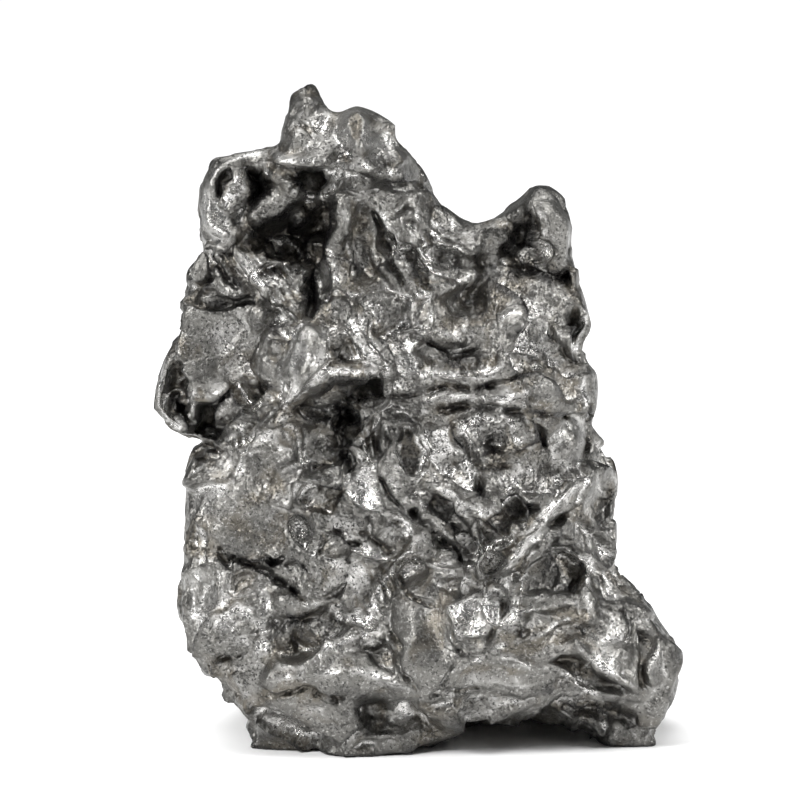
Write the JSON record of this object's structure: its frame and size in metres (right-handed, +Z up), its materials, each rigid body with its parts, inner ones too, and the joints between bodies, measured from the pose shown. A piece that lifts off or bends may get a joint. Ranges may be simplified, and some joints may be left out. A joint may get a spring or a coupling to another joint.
{
  "type": "iron meteorite",
  "caption": "Small iron meteorite display specimen, a torn and folded lump of nickel-iron that stands upright on its broad lower end.",
  "frame": {"origin": "on the surface that the specimen stands on, under the middle of its box", "axes": "+Z up along the specimen's height, -Y towards the sculpted front, +X to the right of a person who looks at that front"},
  "size_m": [0.0542, 0.0354, 0.0663],
  "materials": {
    "nickel_iron": "cleaned and waxed natural metal, bright on the crests and dark in the hollows"
  },
  "bodies": {
    "root": {"meteorite": "nickel_iron"}
  },
  "joints": []
}
